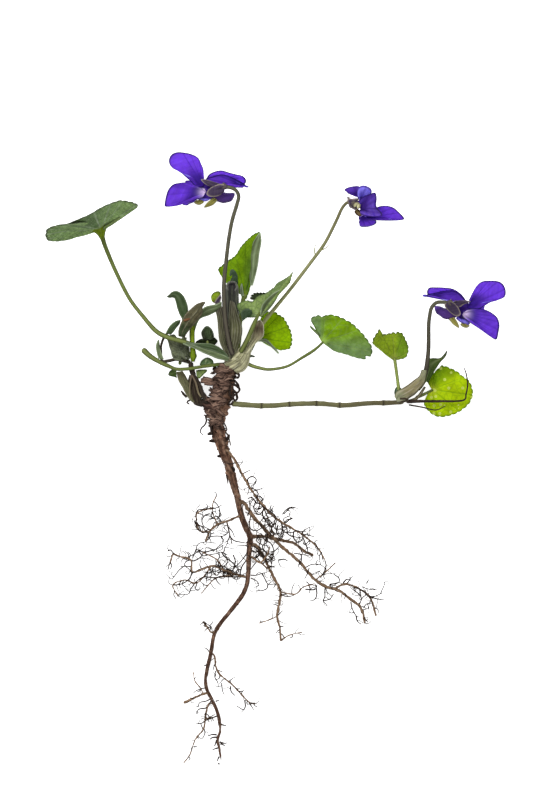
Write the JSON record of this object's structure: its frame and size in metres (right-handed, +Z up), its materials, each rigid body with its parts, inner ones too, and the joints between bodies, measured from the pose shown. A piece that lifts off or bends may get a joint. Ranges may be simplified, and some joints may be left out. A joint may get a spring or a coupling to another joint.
{
  "type": "bare-rooted wood violet plant",
  "caption": "Bare-rooted wood violet plant lying flat: violet blooms, heart-shaped toothed leaves, a shaggy crown, a long branched root and a runner that carries a plantlet.",
  "frame": {"origin": "the flat spot under the crown, on the surface that the plant lies on, where the leaves, the runner and the taproot meet", "axes": "+X towards the plantlet on the runner, +Y from the root tip to the blooms, +Z up, away from the surface"},
  "size_m": [0.1158, 0.154, 0.0218],
  "materials": {
    "root": "reddish-brown bark, matt and fibrous",
    "runner": "olive-brown stem, matt",
    "leaf": "fresh green leaf, satin, with netted veins",
    "young_leaf": "dark grey-green young leaf, downy",
    "sheath": "pale green and buff sheath, matt and ribbed",
    "stalk": "olive-green flower stalk and sepals, satin",
    "petal": "deep violet petal, satin, with darker veins",
    "style": "yellow-orange, matt",
    "withered": "black-brown withered leaf, matt"
  },
  "bodies": {
    "root": {"rhizome_and_taproot": "root", "root_upper_right": "root", "root_long_right": "root", "root_stub_right": "root", "root_middle": "root", "root_cluster": "root", "root_upper_left": "root", "root_lower_left": "root", "root_low_left": "root", "root_low_left_long": "root", "root_low_right": "root", "root_low_tuft": "root", "leaf_left": "leaf", "leaf_back": "leaf", "leaf_folded": "leaf", "leaf_round": "leaf", "leaf_low_right": "leaf", "runner_leaf_upright": "leaf", "runner_leaf_round": "leaf", "runner_leaf_folded": "leaf", "young_leaf_small": "leaf", "cut_stalk": "leaf", "leaf_base": "sheath", "side_shoot": "sheath", "sheath_centre_left": "sheath", "sheath_centre_right": "sheath", "sheath_right": "sheath", "runner_crown": "sheath", "leaf_rolled_centre": "young_leaf", "old_leaf_arched": "young_leaf", "young_leaf_hooked": "young_leaf", "young_leaf_rolled": "young_leaf", "young_leaf_bud": "young_leaf", "young_leaf_crumpled": "young_leaf", "old_leaf_tip": "withered", "withered_bud_scales": "withered", "left_flower_corolla": "petal", "left_flower_stalk_and_calyx": "stalk", "left_flower_style": "style", "middle_flower_corolla": "petal", "middle_flower_stalk_and_calyx": "stalk", "middle_flower_style": "style", "runner_flower_corolla": "petal", "runner_flower_stalk_and_calyx": "stalk", "runner_flower_style": "style", "runner": "runner", "runner_root_long": "root", "runner_root_short": "root"}
  },
  "joints": []
}
